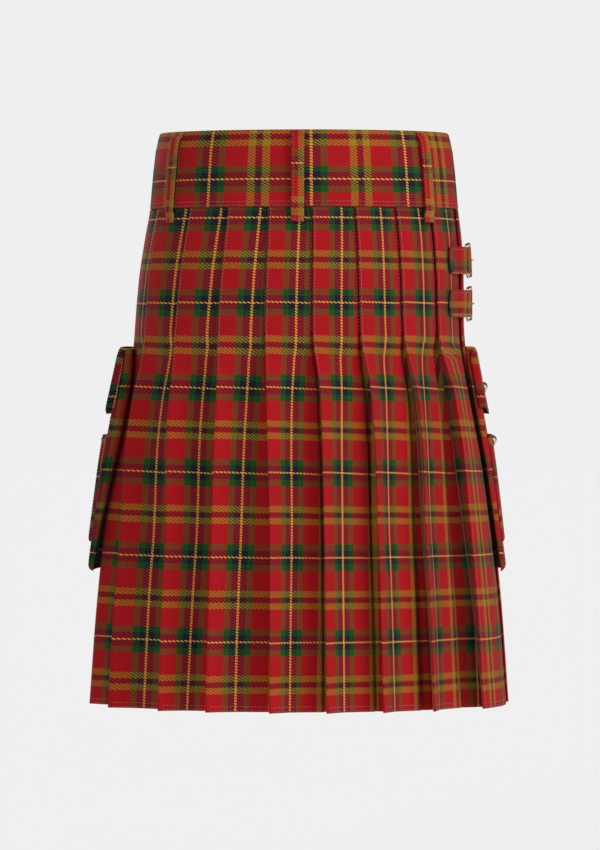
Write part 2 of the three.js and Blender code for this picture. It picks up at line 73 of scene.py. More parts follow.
def buildStudio():
    world = bpy.data.worlds.new("studio")
    world.use_nodes = True
    tree = world.node_tree
    ambient = tree.nodes["Background"]
    ambient.inputs["Color"].default_value = (1, 1, 1, 1)
    ambient.inputs["Strength"].default_value = studio["ambient"]
    seen = addNode(tree, "ShaderNodeBackground", {"Color": (1, 1, 1, 1), "Strength": studio["backdrop"]})
    path = addNode(tree, "ShaderNodeLightPath")
    both = addNode(tree, "ShaderNodeMixShader", {0: path.outputs["Is Camera Ray"]})
    tree.links.new(ambient.outputs[0], both.inputs[1])
    tree.links.new(seen.outputs[0], both.inputs[2])
    tree.links.new(both.outputs[0], tree.nodes["World Output"].inputs["Surface"])
    scene.world = world
    onFloor = studio["ambient"]
    for row in studio["suns"]:
        onFloor += row["power"] * Vector(row["from"]).normalized().z / math.pi
        lamp = bpy.data.lights.new(row["name"], "SUN")
        lamp.angle = math.radians(row["soft"])
        lamp.energy = row["power"]
        light = bpy.data.objects.new(row["name"], lamp)
        light.rotation_euler = (-Vector(row["from"])).to_track_quat("-Z", "Y").to_euler()
        scene.collection.objects.link(light)
    bm = bmesh.new()
    bmesh.ops.create_grid(bm, x_segments=1, y_segments=1, size=30)
    bmesh.ops.translate(bm, verts=bm.verts, vec=(0, 0, studio["floorZ"]))
    paint = min(studio["backdrop"] / onFloor, 0.95)
    print("floor paint", round(paint, 3))
    matte = plainMatte("floorPaint", (paint, paint, paint), 1.0)
    matte.node_tree.nodes["Principled BSDF"].inputs["Specular IOR Level"].default_value = 0.0
    floor = finishMesh("floor", bm, matte, smooth=False)
    scene.view_settings.view_transform = "Standard"


def finishMesh(name, bm, material, smooth=True):
    mesh = bpy.data.meshes.new(name)
    bm.to_mesh(mesh)
    bm.free()
    piece = bpy.data.objects.new(name, mesh)
    scene.collection.objects.link(piece)
    mesh.materials.append(material)
    for face in mesh.polygons:
        face.use_smooth = smooth
    return piece


def plainMatte(name, colour, roughness=0.9):
    material = bpy.data.materials.new(name)
    material.use_nodes = True
    shader = material.node_tree.nodes["Principled BSDF"]
    shader.inputs["Base Color"].default_value = (*colour, 1)
    shader.inputs["Roughness"].default_value = roughness
    return material


# Woven cloth. Each stripe runs from the yellow middle line outwards, in millimetres
tartan = {
    "sett": 89.0, "threadU": 1.1, "threadV": 0.75,
    "colours": {
        "yellow": (0.66, 0.27, 0.035), "navy": (0.008, 0.009, 0.018), "green": (0.008, 0.060, 0.008),
        "red": (0.30, 0.004, 0.007), "gold": (0.235, 0.140, 0.009), "wine": (0.11, 0.004, 0.008),
    },
    "warp": [("yellow", 1.05), ("navy", 8.1), ("green", 14.6), ("red", 34.9), ("gold", 41.5),
             ("wine", 43.7), ("navy", 44.5)],
    "weft": [("yellow", 0.85), ("navy", 7.2), ("green", 13.8), ("red", 34.9), ("gold", 41.5),
             ("wine", 43.7), ("navy", 44.5)],
    "roughness": 0.88, "sheen": 0.05, "sheenRoughness": 0.5, "specular": 0.1,
    "fuzz": 0.24, "wear": 0.24, "tone": 0.88, "bump": 0.35, "bumpDepth": 0.00012,
}


def addNode(tree, kind, inputs=None, **settings):
    node = tree.nodes.new(kind)
    for key, value in settings.items():
        setattr(node, key, value)
    for key, value in (inputs or {}).items():
        if isinstance(value, bpy.types.NodeSocket):
            tree.links.new(value, node.inputs[key])
        else:
            node.inputs[key].default_value = value
    return node


def maths(tree, operation, *values):
    return addNode(tree, "ShaderNodeMath", dict(enumerate(values)), operation=operation).outputs[0]


def stripes(tree, along, table):
    half = tartan["sett"] / 2
    wrapped = maths(tree, "ABSOLUTE", maths(tree, "WRAP", along, half, -half))
    share = maths(tree, "DIVIDE", wrapped, half)
    ramp = addNode(tree, "ShaderNodeValToRGB", {"Fac": share})
    ramp.color_ramp.interpolation = "CONSTANT"
    stops = ramp.color_ramp.elements
    start = 0.0
    for i, (colour, end) in enumerate(table):
        stop = stops[0] if i == 0 else stops[1] if i == 1 else stops.new(start)
        stop.position = start
        stop.color = (*tartan["colours"][colour], 1)
        start = end / half
    return ramp.outputs["Color"]


def tartanCloth(name, shade=1.0):
    material = bpy.data.materials.new(name)
    material.use_nodes = True
    tree = material.node_tree
    shader = tree.nodes["Principled BSDF"]
    spot = addNode(tree, "ShaderNodeUVMap", uv_map="cloth").outputs["UV"]
    part = addNode(tree, "ShaderNodeSeparateXYZ", {"Vector": spot})
    u, v = part.outputs["X"], part.outputs["Y"]
    across, along = stripes(tree, u, tartan["warp"]), stripes(tree, v, tartan["weft"])
    # Two over, two under, one thread further on each row
    threadsAcross = maths(tree, "DIVIDE", u, tartan["threadU"])
    threadsAlong = maths(tree, "DIVIDE", v, tartan["threadV"])
    column, row = maths(tree, "FLOOR", threadsAcross), maths(tree, "FLOOR", threadsAlong)
    diagonal = maths(tree, "FLOORED_MODULO", maths(tree, "SUBTRACT", column, row), 4.0)
    over = maths(tree, "LESS_THAN", diagonal, 1.5)
    woven = addNode(tree, "ShaderNodeMix", {0: over, 6: along, 7: across}, data_type="RGBA")
    # Fibres: streaks along the threads on top and a soft blotch of wear
    stretch = addNode(tree, "ShaderNodeCombineXYZ", {
        "X": maths(tree, "MULTIPLY", u, 1.1), "Y": maths(tree, "MULTIPLY", v, 0.9),
    }).outputs[0]
    fibre = addNode(tree, "ShaderNodeTexNoise", {"Vector": stretch, "Scale": 1.0, "Detail": 3.0})
    wear = addNode(tree, "ShaderNodeTexNoise", {"Vector": spot, "Scale": 0.03, "Detail": 2.0})
    tone = maths(tree, "ADD", maths(tree, "MULTIPLY", fibre.outputs["Fac"], 2 * tartan["fuzz"]),
                 maths(tree, "MULTIPLY", wear.outputs["Fac"], tartan["wear"]))
    tone = maths(tree, "MULTIPLY", maths(tree, "ADD", tone, tartan["tone"] - tartan["fuzz"]), shade)
    toned = addNode(tree, "ShaderNodeVectorMath", {0: woven.outputs[2], 3: tone}, operation="SCALE")
    tree.links.new(toned.outputs[0], shader.inputs["Base Color"])
    # Each floating thread is a low ridge
    slant = maths(tree, "SUBTRACT", threadsAcross, threadsAlong)
    ridge = maths(tree, "SINE", maths(tree, "MULTIPLY", slant, math.pi / 2))
    height = maths(tree, "ADD", ridge, fibre.outputs["Fac"])
    bump = addNode(tree, "ShaderNodeBump", {
        "Height": height, "Strength": tartan["bump"], "Distance": tartan["bumpDepth"],
    })
    tree.links.new(bump.outputs["Normal"], shader.inputs["Normal"])
    shader.inputs["Roughness"].default_value = tartan["roughness"]
    shader.inputs["Sheen Weight"].default_value = tartan["sheen"]
    shader.inputs["Sheen Roughness"].default_value = tartan["sheenRoughness"]
    shader.inputs["Specular IOR Level"].default_value = tartan["specular"]
    return material


metal = {
    "silver": (0.72, 0.69, 0.60), "pale": (0.70, 0.62, 0.44), "roughness": 0.24,
    "scratch": 900.0, "dull": (0.16, 0.36), "worn": 180.0, "wornShade": 0.78,
}
thread = {"colour": (0.24, 0.16, 0.15), "roughness": 0.75, "ply": 700.0, "shades": (0.7, 1.25)}


def polishedMetal(name, colour):
    material = plainMatte(name, colour, metal["roughness"])
    tree = material.node_tree
    shader = tree.nodes["Principled BSDF"]
    shader.inputs["Metallic"].default_value = 1.0
    spot = addNode(tree, "ShaderNodeTexCoord").outputs["Object"]
    scratch = addNode(tree, "ShaderNodeTexNoise", {"Vector": spot, "Scale": metal["scratch"], "Detail": 2.0})
    dull = addNode(tree, "ShaderNodeMapRange", {
        "Value": scratch.outputs["Fac"], 3: metal["dull"][0], 4: metal["dull"][1],
    })
    tree.links.new(dull.outputs[0], shader.inputs["Roughness"])
    worn = addNode(tree, "ShaderNodeTexNoise", {"Vector": spot, "Scale": metal["worn"], "Detail": 3.0})
    mixed = addNode(tree, "ShaderNodeMix", {
        0: worn.outputs["Fac"], 6: (*[part * metal["wornShade"] for part in colour], 1), 7: (*colour, 1),
    }, data_type="RGBA")
    tree.links.new(mixed.outputs[2], shader.inputs["Base Color"])
    return material


def threadFinish():
    material = plainMatte("sewingThread", thread["colour"], thread["roughness"])
    tree = material.node_tree
    spot = addNode(tree, "ShaderNodeTexCoord").outputs["Object"]
    ply = addNode(tree, "ShaderNodeTexNoise", {"Vector": spot, "Scale": thread["ply"], "Detail": 1.0})
    dark, bright = ((*[part * shade for part in thread["colour"]], 1) for shade in thread["shades"])
    tinted = addNode(tree, "ShaderNodeMix", {0: ply.outputs["Fac"], 6: dark, 7: bright}, data_type="RGBA")
    tree.links.new(tinted.outputs[2], tree.nodes["Principled BSDF"].inputs["Base Color"])
    return material


# The garment's form, in millimetres: rings round the body from the hem up
garment = {
    "z": [-570, -453, -317, -244, -205, -175, -116, -75, -41, 20, 40],
    "halfWidth": [225.4, 216.5, 200, 187, 180, 176.8, 174, 170, 165, 159, 154.6],
    "halfDepth": [180, 175, 166, 158, 151.5, 147, 138.5, 131, 125, 120.5, 118.5],
    "shift": [5, 5, 5, 5, 5, 5, 3, 1, 0, 0, 0],
    "front": [0.76, 0.76, 0.77, 0.78, 0.8, 0.8, 0.84, 0.87, 0.9, 0.94, 0.95],
    "hem": -570, "skirtTop": -41.3, "rows": 100, "cloth": 1.2, "shell": 0.85, "layer": 1.6,
}


@lru_cache(maxsize=None)
def slopesOf(places, values):
    rises = [(values[i + 1] - values[i]) / (places[i + 1] - places[i]) for i in range(len(places) - 1)]
    slopes = [rises[0]]
    for before, after in zip(rises, rises[1:]):
        slopes.append(0 if before * after <= 0 else 2 * before * after / (before + after))
    return slopes + [rises[-1]]


# A smooth line through a table's points that never swings past them
def readTable(places, values, at):
    places, values = tuple(places), tuple(values)
    if at <= places[0]:
        return values[0]
    if at >= places[-1]:
        return values[-1]
    slopes = slopesOf(places, values)
    i = bisect.bisect_right(places, at) - 1
    width = places[i + 1] - places[i]
    t = (at - places[i]) / width
    start = (1 + 2 * t) * (1 - t) ** 2 * values[i] + t * (1 - t) ** 2 * width * slopes[i]
    return start + t * t * (3 - 2 * t) * values[i + 1] + t * t * (t - 1) * width * slopes[i + 1]


def lerp(a, b, share):
    return a + (b - a) * share


def spread(first, last, count):
    return [lerp(first, last, i / (count - 1)) for i in range(count)]


@lru_cache(maxsize=None)
def ringAt(z):
    names = ("halfWidth", "halfDepth", "shift", "front")
    return tuple(readTable(garment["z"], garment[name], z) for name in names)


def signedPower(value, power):
    return math.copysign(abs(value) ** power, value)


def ringPoint(z, degrees, out=0.0):
    halfWidth, halfDepth, shift, front = ringAt(z)
    sine, cosine = math.sin(math.radians(degrees)), math.cos(math.radians(degrees))
    power = front if cosine < 0 else 1.0
    nx = -signedPower(sine, 2 - power) / halfWidth
    ny = signedPower(cosine, 2 - power) / halfDepth
    reach = out / math.hypot(nx, ny)
    return (shift - halfWidth * signedPower(sine, power) + nx * reach,
            halfDepth * signedPower(cosine, power) + ny * reach)


def lineLengths(line):
    lengths = [0.0]
    for before, after in zip(line, line[1:]):
        lengths.append(lengths[-1] + math.dist(before, after))
    return lengths


# A sheet of cloth: a grid whose points are laid row by row, with its pattern in millimetres
def clothSheet(name, lines, patterns, material, thick, offset=0.0):
    rows, columns = len(lines), len(lines[0])
    bm = bmesh.new()
    bmesh.ops.create_grid(bm, x_segments=columns - 1, y_segments=rows - 1, size=0.5)
    cloth = bm.loops.layers.uv.new("cloth")
    spots = {}
    for vert in bm.verts:
        i = round((vert.co.x + 0.5) * (columns - 1))
        j = round((vert.co.y + 0.5) * (rows - 1))
        spots[vert.index] = (i, j)
        vert.co = Vector(lines[j][i]) / 1000
    for face in bm.faces:
        for loop in face.loops:
            i, j = spots[loop.vert.index]
            loop[cloth].uv = patterns[j][i]
    piece = finishMesh(name, bm, material)
    wall = piece.modifiers.new("wall", "SOLIDIFY")
    wall.thickness = thick / 1000
    wall.offset = offset
    return piece


# Where the weft stripes fall: the height of one yellow line on each piece. The band's
# warp is drawn in by a scale on either side of its zero, and lag tilts the skirt's weft
weave = {
    "bandWeft": -12.0, "skirtWeft": -52.1, "patchWeft": -60.0, "flapWeft": -63.0,
    "bandScale": (0.795, 0.845), "bandZero": 5.0,
    "lagZ": [-570, -490, -400, -315, -229, -141, -41], "lag": [-0.8, 0.2, 1.4, 2.8, 2.9, 1.4, 0.7],
}


# Each panel's weft runs a little downhill towards its valley
def weftAt(z, across=0.0):
    return weave["skirtWeft"] - z - across * readTable(weave["lagZ"], weave["lag"], z)


# Pleated back: fold edges in degrees from the centre back, at heights from the hem up
pleats = {
    "z": [-570, -400, -244, -178, -168, -41],
    "seam": [-87, -67.9, -44.7, -26.6, -10.6, 5.4, 21.5, 38.6, 57.3, 84],
    "fell": [-86, -66.4, -45.8, -26.6, -9.2, 7.2, 24.1, 41.4, 59.9, 84],
    "spring": [-86, -69.7, -44.9, -25.5, -8.1, 9.5, 26.8, 44.8, 65.5, 92],
    "hem": [-85, -62, -39, -23.5, -5.6, 9.7, 25.5, 41.5, 62.7, 98],
    "dip": [0.9, 1, 1, 1, 1, 0.95, 0.9, 1.1, 0.15, 0],
    "yellowZ": [-560, -203, -186, -41],
    "yellowAt": [
        (33, 33, 33, 33), (45, 46, 47, 48), (34, 40, 42, 39), (35.5, 35.5, 37, 35.5), (29.5, 32, 33, 32.5),
        (30, 30, 31, 31), (27, 27, 29, 28), (31, 30, 30, 29), (68.5, 68.5, 30, 28), (33, 33, 33, 33),
    ],
    "openZ": [-570, -453, -317, -244, -205, -187, -177, -165, -41],
    "openDip": [26, 25, 22, 18, 12.5, 8, 4.5, 4, 4],
    "openShare": [1, 1, 1, 1, 0.8, 0.5, 0.15, 0, 0],
    "across": [0, 0.17, 0.35, 0.66, 1], "sunk": [0, 0.45, 0.8, 0.96, 1],
    "footZ": [-570, -453, -317, -244], "foot": [0.24, 0.18, 0.12, 0.1],
    "knee": 0.35, "tuck": 0.46, "leftSeam": -138, "rightSeam": 158,
    "leftStart": 110.36, "leftFlat": -104, "leftBend": -102,
    "rightBend": 102, "rightFlat": 130, "rightStep": 133,
    "lastReach": 18, "leastDip": 4, "valleyPoints": 9, "foldWarp": 33, "openedFold": 8,
    "panelShares": [0.06, 0.1, 0.15, 0.2, 0.26, 0.33, 0.41, 0.5, 0.6, 0.7, 0.8, 0.9],
}
lastPleat = len(pleats["seam"]) - 1
apron = {
    "edge": 146, "under": 214, "stepStart": 134, "stepEnd": 142, "gap": 0.6,
    "underSink": 1.8, "overWarp": 8, "underWarp": 20, "overColumns": 46, "underColumns": 32,
}

# Soft dents and swells: angle, height, lean, length, breadth in degrees, rise
creases = [
    {"at": -33, "z": -300, "lean": 0.010, "long": 150, "wide": 5, "rise": -1.6},
    {"at": -53, "z": -420, "lean": -0.012, "long": 170, "wide": 6, "rise": 1.5},
    {"at": 4, "z": -380, "lean": 0.008, "long": 160, "wide": 4.5, "rise": -1.4},
    {"at": 20, "z": -470, "lean": 0.010, "long": 130, "wide": 5, "rise": 1.3},
    {"at": 34, "z": -330, "lean": -0.010, "long": 140, "wide": 5, "rise": -1.5},
    {"at": -17, "z": -500, "lean": 0.006, "long": 110, "wide": 4.5, "rise": 1.2},
    {"at": 52, "z": -450, "lean": 0.010, "long": 150, "wide": 6, "rise": 1.6},
    {"at": -75, "z": -505, "lean": 0.0, "long": 100, "wide": 6, "rise": 1.4},
    {"at": 122, "z": -470, "lean": 0.02, "long": 190, "wide": 9, "rise": -4.5},
    {"at": 166, "z": -330, "lean": -0.022, "long": 260, "wide": 9, "rise": 3.4},
    {"at": 190, "z": -420, "lean": 0.03, "long": 240, "wide": 11, "rise": -4.0},
    {"at": 206, "z": -300, "lean": 0.02, "long": 230, "wide": 8, "rise": 2.6},
    {"at": -146, "z": -430, "lean": -0.02, "long": 220, "wide": 8, "rise": 3.2},
    {"at": -128, "z": -500, "lean": 0.0, "long": 120, "wide": 7, "rise": -3.2},
]


def creaseAt(degrees, z):
    total = 0.0
    for crease in creases:
        turn = (degrees - crease["at"] - crease["lean"] * (z - crease["z"]) + 180) % 360 - 180
        away = turn / crease["wide"]
        down = (z - crease["z"]) / (crease["long"] / 2)
        if abs(away) < 2.6 and abs(down) < 2.2:
            total += crease["rise"] * math.exp(-away * away - down * down)
    return total


@lru_cache(maxsize=None)
def foldAngle(k, z):
    spring, hem = pleats["spring"][k], pleats["hem"][k]
    fell, seam = pleats["fell"][k], pleats["seam"][k]
    angles = (hem, lerp(spring, hem, 0.85), spring, fell, lerp(fell, seam, 0.06), seam)
    return readTable(pleats["z"], angles, z)


def nextFoldAngle(k, z):
    return foldAngle(k, z) + pleats["lastReach"] if k == lastPleat else foldAngle(k + 1, z)


@lru_cache(maxsize=None)
def openingAt(z):
    return tuple(readTable(pleats["openZ"], pleats[name], z) for name in ("openDip", "openShare"))


def sideDipAt(z):
    return max(openingAt(z)[0] * 0.9, pleats["leastDip"])


def panelDepth(k, z, across):
    full, opened = openingAt(z)
    dip = max(full * pleats["dip"][k], pleats["leastDip"] if pleats["dip"][k] > 0 else 0)
    hang = readTable(pleats["across"], pleats["sunk"], across)
    return -garment["cloth"] / 2 - dip * lerp(across, hang, opened)


# One pleat at a height: places as millimetres from the fold edge, depth and pattern
@lru_cache(maxsize=None)
def pleatLine(k, z):
    angle, nextAngle = foldAngle(k, z), nextFoldAngle(k, z)
    width = math.dist(ringPoint(z, angle), ringPoint(z, nextAngle))
    sink = panelDepth(k, z, 0) - panelDepth(k, z, pleats["knee"])
    drop = garment["layer"] * math.hypot(1, sink / (pleats["knee"] * width))
    skin = -garment["cloth"] / 2
    arriving = skin - sideDipAt(z) if k == 0 else panelDepth(k - 1, z, 1)
    start = min(arriving, skin - 2.1 * drop)
    groove = min(3.4 + 0.15 * -start, 6)
    spots = [(-2.1, start), (-1.2, start - groove * 0.6), (0.2, start - groove)]
    tuck, knee = pleats["tuck"], pleats["knee"]

    def under(share, layers):
        return (share * width, panelDepth(k, z, share) - layers * drop)

    turn = under(tuck, 1.5)

    def hidden(share):
        sunk = lerp(start, turn[1] - drop / 2, share / tuck)
        return (share * width, min(sunk, under(share, 2)[1]) - 0.5)

    spots += [hidden(share) for share in (0.12, 0.24, knee, 0.42)]
    for step in (-0.8, 0.8):
        spots.append((turn[0] + 0.5 * drop * math.cos(step), turn[1] + 0.5 * drop * math.sin(step)))
    # The turned-under layer lies in the valley, and a wall of cloth stands from there to the edge
    foot = readTable(pleats["footZ"], pleats["foot"], z)
    spots += [(share * width, hidden(share)[1] + drop) for share in (0.42, knee, 0.28, foot)]
    radius = drop / 2
    middle = panelDepth(k, z, 0) - radius
    low = (foot * width, hidden(foot)[1] + drop)
    high = (radius * 0.5, middle - radius * 0.87)
    spots += [(lerp(high[0], low[0], down ** 1.3), lerp(high[1], low[1], down)) for down in (0.75, 0.5, 0.25)]
    folded = len(spots)
    for step in (-60, -25, 10, 45, 78):
        away = math.radians(step)
        spots.append((radius * (1 - math.cos(away)), middle + radius * math.sin(away)))
    edge = folded + 2
    flat = [under(share, 0) for share in pleats["panelShares"]]
    spots += flat[:2] if k == lastPleat else flat
    lengths = lineLengths(spots)
    yellow = readTable(pleats["yellowZ"], pleats["yellowAt"][k], z)
    shift = yellow if k == pleats["openedFold"] else pleats["foldWarp"]
    stretch = shift / yellow
    patterns = [(length - lengths[edge]) * stretch - shift for length in lengths]
    shares = [along / width for along, out in spots]
    if k > 0:
        previous = pleatReach(k - 1, z)
        for i in range(pleats["valleyPoints"]):
            patterns[i] = previous + lengths[i]
            shares[i] += 1
    turned = [(angle + along * (nextAngle - angle) / width, out) for along, out in spots]
    return turned, patterns, shares


# Pattern at the valley where a panel meets the next fold
@lru_cache(maxsize=None)
def pleatReach(k, z):
    spots, patterns = pleatLine(k, z)[:2]
    here = ringPoint(z, *spots[-1])
    there = ringPoint(z, foldAngle(k + 1, z), panelDepth(k, z, 1))
    return patterns[-1] + math.dist(here, there)


def wrapStep(degrees, thick):
    share = min(max((degrees - apron["stepStart"]) / (apron["stepEnd"] - apron["stepStart"]), 0), 1)
    return -share * share * (3 - 2 * share) * (thick + apron["gap"])


def skirtLine(z):
    mid = -garment["cloth"] / 2
    spots = [(degrees, mid) for degrees in spread(pleats["leftSeam"] + 0.1, pleats["leftFlat"], 13)]
    for share, sink in ((0.08, 0.06), (0.25, 0.28), (0.5, 0.6), (0.75, 0.86), (0.93, 0.97)):
        spots.append((lerp(pleats["leftBend"], foldAngle(0, z), share), mid - sideDipAt(z) * sink))
    lengths = lineLengths([ringPoint(z, *spot) for spot in spots])
    patterns = [length - lengths[-1] + pleats["leftStart"] for length in lengths]
    shares = [0.0] * len(patterns)
    for k in range(lastPleat + 1):
        turned, pleatPatterns, pleatShares = pleatLine(k, z)
        spots += turned
        patterns += pleatPatterns
        shares += pleatShares
    lastFold = foldAngle(lastPleat, z)
    side = [(lerp(lastFold, pleats["rightBend"], share), mid) for share in (0.2, 0.4, 0.6, 0.8)]
    side += [(degrees, mid) for degrees in spread(pleats["rightBend"], pleats["rightFlat"], 9)]
    for degrees in spread(pleats["rightStep"], pleats["rightSeam"], 11):
        side.append((degrees, mid + wrapStep(degrees, garment["cloth"])))
    run = lineLengths([ringPoint(z, *spot) for spot in [spots[-1]] + side])
    patterns += [patterns[-1] + length for length in run[1:]]
    shares += [0.0] * len(side)
    spots += side
    points = [(*ringPoint(z, degrees, out + creaseAt(degrees, z)), z) for degrees, out in spots]
    return points, [(pattern, weftAt(z, share)) for pattern, share in zip(patterns, shares)]


def buildSkirt(cloth):
    heights = spread(garment["hem"], garment["skirtTop"], garment["rows"])
    lines, patterns = zip(*[skirtLine(z) for z in heights])
    back = clothSheet("pleatedBack", lines, patterns, cloth, garment["shell"])
    fronts = []
    skin = -garment["cloth"] / 2
    overPlaces = spread(apron["edge"], 360 + pleats["leftSeam"] - 0.13, apron["overColumns"])
    underPlaces = spread(pleats["rightSeam"] + 0.13, apron["under"], apron["underColumns"])
    for name, places, out, start in (
        ("overApron", overPlaces, skin, apron["overWarp"]),
        ("underApron", underPlaces, skin - apron["underSink"], apron["underWarp"]),
    ):
        lines, patterns = [], []
        for z in heights:
            flatLine = [ringPoint(z, degrees, out + creaseAt(degrees, z)) for degrees in places]
            lengths = lineLengths(flatLine)
            lines.append([(*point, z) for point in flatLine])
            patterns.append([(length + start, weftAt(z)) for length in lengths])
        fronts.append(clothSheet(name, lines, patterns, cloth, garment["shell"]))
    return back, fronts


# Waistband: one strip round the body, its top edge turned over
band = {
    "thick": 3.0, "shell": 2.6, "columns": 200,
    "rows": [(-41, -1.1), (-40.2, -0.4), (-38.5, 0), (-20, 0.3), (0, 0.2), (20, 0.1),
             (34, 0), (38.2, -0.1), (39.5, -0.6), (40, -1.3)],
}


def buildBand(cloth):
    places = spread(apron["edge"] - 360, apron["under"], band["columns"])
    lengths = lineLengths([ringPoint(0, degrees) for degrees in places])
    zero = readTable(places, lengths, weave["bandZero"])
    warp = [(length - zero) * weave["bandScale"][length > zero] for length in lengths]
    lines, patterns = [], []
    for z, tuckedIn in band["rows"]:
        line = [ringPoint(z, degrees, tuckedIn + wrapStep(degrees, band["thick"])) for degrees in places]
        lines.append([(*point, z) for point in line])
        patterns.append([(u, weave["bandWeft"] - z) for u in warp])
    return clothSheet("waistBand", lines, patterns, cloth, band["shell"], offset=-1.0)


def seatAt(z, degrees, out=0.0):
    here, further = Vector(ringPoint(z, degrees)), Vector(ringPoint(z, degrees, 1))
    above, below = Vector(ringPoint(z + 10, degrees)), Vector(ringPoint(z - 10, degrees))
    up = Vector((*(above - below), 20)).normalized()
    along = up.cross(Vector((*(further - here), 0))).normalized()
    outward = along.cross(up)
    base = Matrix((along, up, outward)).transposed().to_4x4()
    base.translation = Vector((*here, z)) + outward * out
    return base


# A line made smooth and evenly spaced, in any number of columns
def smoothLine(points, count):
    lengths = lineLengths(points)
    columns = list(zip(*points))
    stations = spread(0, lengths[-1], count)
    return [tuple(readTable(lengths, column, at) for column in columns) for at in stations]


loops = {
    "places": [-122, -55.6, 0, 54.5, 122], "width": 13.0, "thick": 1.5, "top": 39.4, "bottom": -57,
    "standoff": [5.2, 3.4, 5.2, 3.4, 5.2], "bend": 9.0,
    "u": [27.0, 28.0, 28.0, 28.0, 27.0], "v": [0.0, 1.3, 3.8, 2.4, 0.0],
    "section": [(-1, 0.5), (-0.9, 0.12), (-0.55, 0.0), (0, 0.1), (0.55, 0.0), (0.9, 0.12), (1, 0.5)],
}


def loopProfile(i):
    low = 1.1
    far = low + loops["standoff"][i]
    top, bottom, bend = loops["top"], loops["bottom"], loops["bend"]
    return [(bottom, low + 0.1), (bottom + bend * 0.5, low + 0.2), (bottom + bend * 0.9, low + 0.9),
            (bottom + bend * 1.5, far - 0.3), (-20, far), (-8, far), (10, far), (top - bend * 1.4, far),
            (top - bend * 0.8, far - 0.8), (top - bend * 0.45, low + 0.5), (top - bend * 0.2, low + 0.1),
            (top, low)]


def buildLoop(i, degrees, cloth):
    lines, patterns = [], []
    half = loops["width"] / 2
    for z, out in smoothLine(loopProfile(i), 44):
        base = seatAt(z, degrees)
        lines.append([tuple(base @ Vector((across * half, 0, out - dip))) for across, dip in loops["section"]])
        u, v = loops["u"][i], loops["v"][i] - z
        patterns.append([(u + across * half + half, v) for across, dip in loops["section"]])
    return clothSheet(f"beltLoop{i + 1}", lines, patterns, cloth, loops["thick"])


# Side closures, the upper and the lower
closure = {
    "z": [-96, -142], "strapWidth": 28.0, "strapTip": 66.5, "strapEnd": 154.0, "tipRound": 7.0,
    "buckleAt": 93.0, "height": 38.0, "width": 25.0, "bar": 3.4, "thick": 2.4, "out": 2.3, "rise": 1.1,
    "tilt": 0.21, "corner": 5.0, "prong": 1.1, "strapThick": 1.4,
    "strapWarp": 6, "strapWeft": {"upper": 14, "lower": 52},
    "tabWidth": 27.0, "tabThick": 1.0, "tabSewn": 76.0, "tabBend": 82, "tabWarp": 8, "tabWeft": -2,
}


def placeAt(z, distance):
    halfDepth, front = ringAt(z)[1], ringAt(z)[3]
    y = ringPoint(z, closure["buckleAt"])[1] - distance
    power = front if y < 0 else 1.0
    return math.degrees(math.acos(signedPower(y / halfDepth, 1 / power)))


def stripPiece(name, z0, width, path, cloth, thick, tipRound, uStart, vStart, count):
    lines, patterns = [], []
    rows = [(-1, 0.35), (-0.97, 0.1)]
    rows += [(side, 0) for side in spread(-0.86, 0.86, 9)]
    rows += [(0.97, 0.1), (1, 0.35)]
    dense = smoothLine(path, count)
    for side, dip in rows:
        z = z0 + side * width / 2
        cut = tipRound * (1 - math.sqrt(max(1 - max(abs(side) * 1.25 - 0.25, 0) ** 4, 0)))
        line = []
        for degrees, out in dense:
            turn = math.degrees(cut / 170) * max(1 - (degrees - dense[0][0]) / 12, 0)
            line.append((*ringPoint(z, degrees + turn, out - dip), z))
        lines.append(line)
        lengths = lineLengths(line)
        patterns.append([(uStart + length, vStart + side * width / 2) for length in lengths])
    return clothSheet(name, lines, patterns, cloth, thick)


def closurePaths(z):
    c = closure
    bar = c["width"] / 2 - c["bar"] / 2
    low, high = 0.9, c["out"] + c["rise"] + c["thick"] + 0.9
    bend = c["bar"] / 2 + 1.2
    middle = (low + high) / 2
    at = lambda distance, out: (placeAt(z, distance), out)
    nose = -bar + bend
    tabPath = [(c["tabSewn"], low + 1.6), (c["tabBend"], high - 2.0), at(-bar - bend, high),
               at(nose - 0.6, high), at(nose + 0.1, middle + 1), at(nose + 0.1, middle - 1), at(nose - 0.6, low),
               at(-bar - bend, low), (c["tabBend"], low), (c["tabSewn"], low)]
    low = c["strapThick"] / 2 + 0.4
    over = c["out"] + c["rise"] + c["thick"] + 0.6 + 1.2 + 0.8
    strapPath = [(c["strapTip"], low + 0.1), (c["strapTip"] + 6.5, low + 0.7), (c["tabSewn"] - 1, low + 3.2),
                 (c["tabSewn"], low + 3.4), at(-bar - 4, over),
                 at(-bar + 3.6, over - 0.1), at(2.4, low + 2.2), at(bar - 3.4, low), at(bar + 4, low)]
    strapPath += [(degrees, low) for degrees in (*range(106, 147, 8), c["strapEnd"])]
    return strapPath, tabPath


